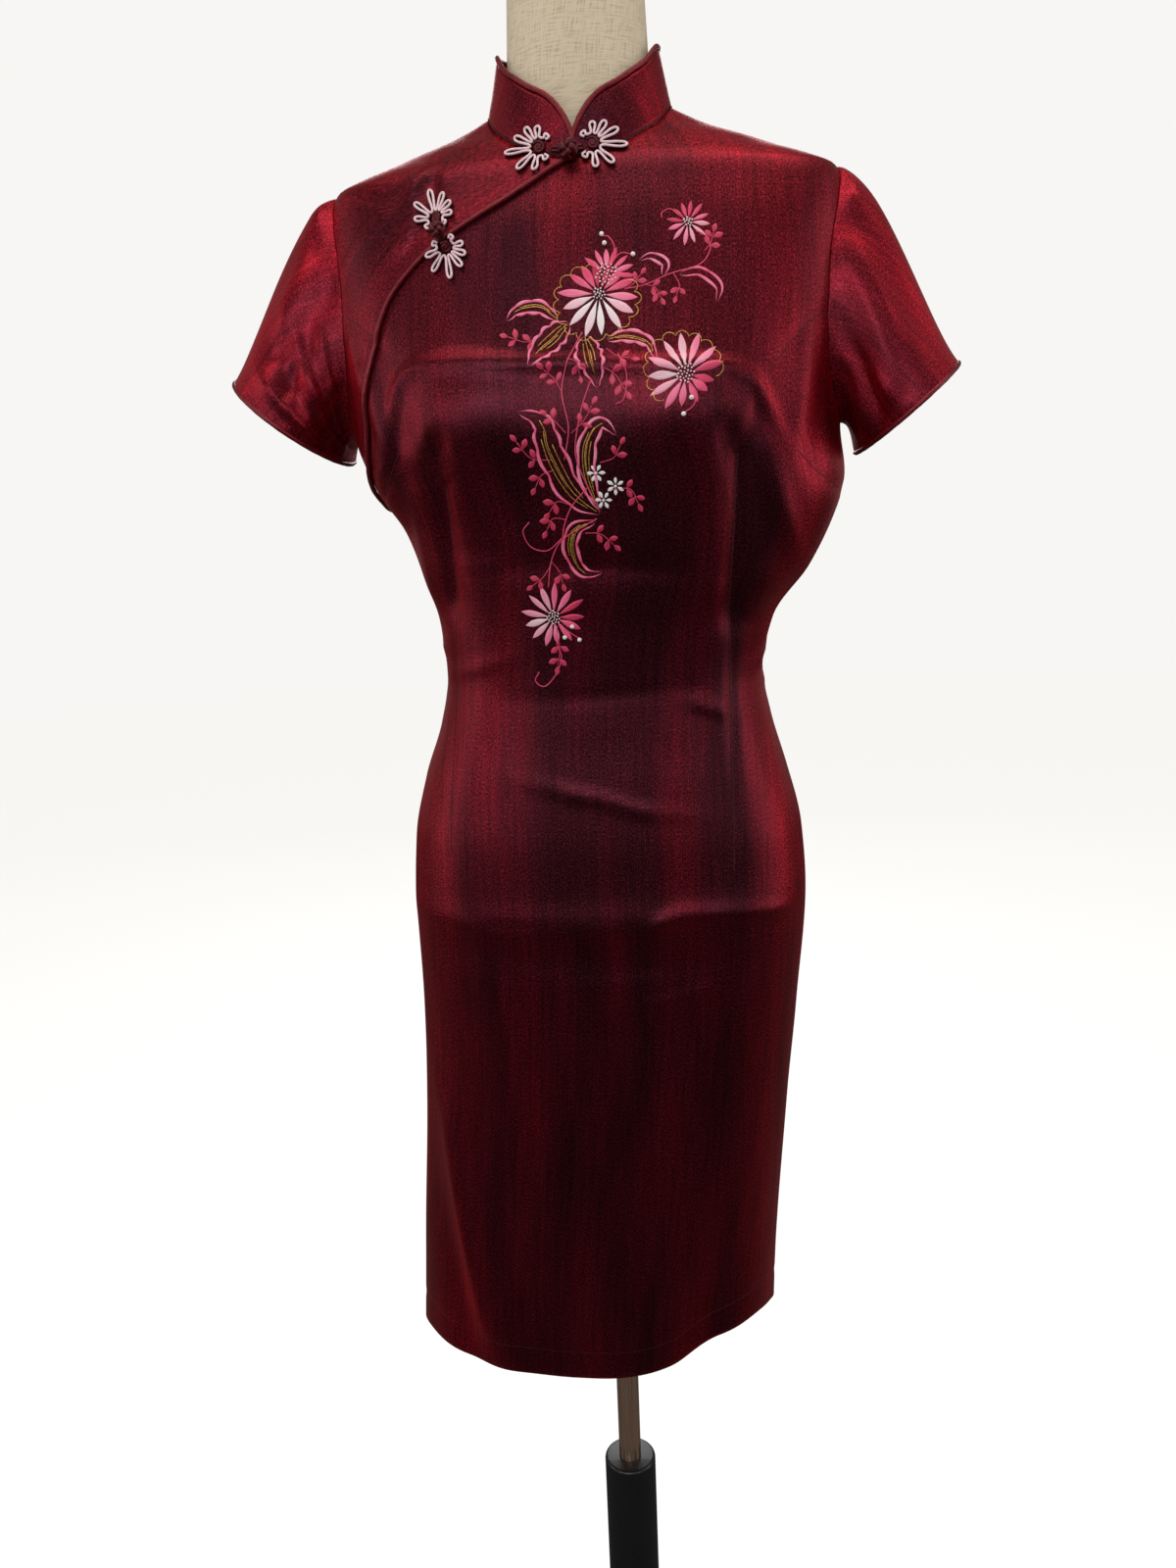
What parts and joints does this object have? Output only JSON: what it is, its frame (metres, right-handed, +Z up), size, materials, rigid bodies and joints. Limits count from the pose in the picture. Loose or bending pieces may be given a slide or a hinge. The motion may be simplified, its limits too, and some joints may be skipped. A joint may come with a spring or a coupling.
{
  "type": "cheongsam dress on a dress form",
  "caption": "Knee-length cheongsam with stand collar, short sleeves, curved front edge and flower frogs, worn by a limbless dress form on a pole with a round foot.",
  "frame": {"origin": "centre of the foot's underside, on the floor under the pole", "axes": "+Z up along the pole, -Y out of the dress's front, +X to the right of someone who looks at the front"},
  "size_m": [0.5672, 0.38, 1.658],
  "materials": {
    "satin": "dark red shot satin with a soft metallic sheen",
    "bias_piping": "rolled satin bias in the dress colour",
    "frog_cord": "pale pink silk cord on a dark red bias edge",
    "canvas": "cream cotton canvas stretched over a padded form",
    "pole": "bright plated steel tube",
    "stand_black": "satin black enamel"
  },
  "bodies": {
    "root": {"front_panel": "satin", "underlap_panel": "satin", "back_panel": "satin", "sleeve_left": "satin", "sleeve_right": "satin", "stand_collar": "satin", "collar_piping": "bias_piping", "placket_piping": "bias_piping", "cuff_piping_left": "bias_piping", "cuff_piping_right": "bias_piping", "collar_frog_left_cord": "frog_cord", "collar_frog_left_disc": "bias_piping", "collar_frog_right_cord": "frog_cord", "collar_frog_right_disc": "bias_piping", "chest_frog_upper_cord": "frog_cord", "chest_frog_upper_disc": "bias_piping", "chest_frog_lower_cord": "frog_cord", "chest_frog_lower_disc": "bias_piping", "collar_knot": "bias_piping", "chest_knot": "bias_piping", "dress_form": "canvas", "pole": "pole", "column": "stand_black", "foot": "stand_black"}
  },
  "joints": []
}
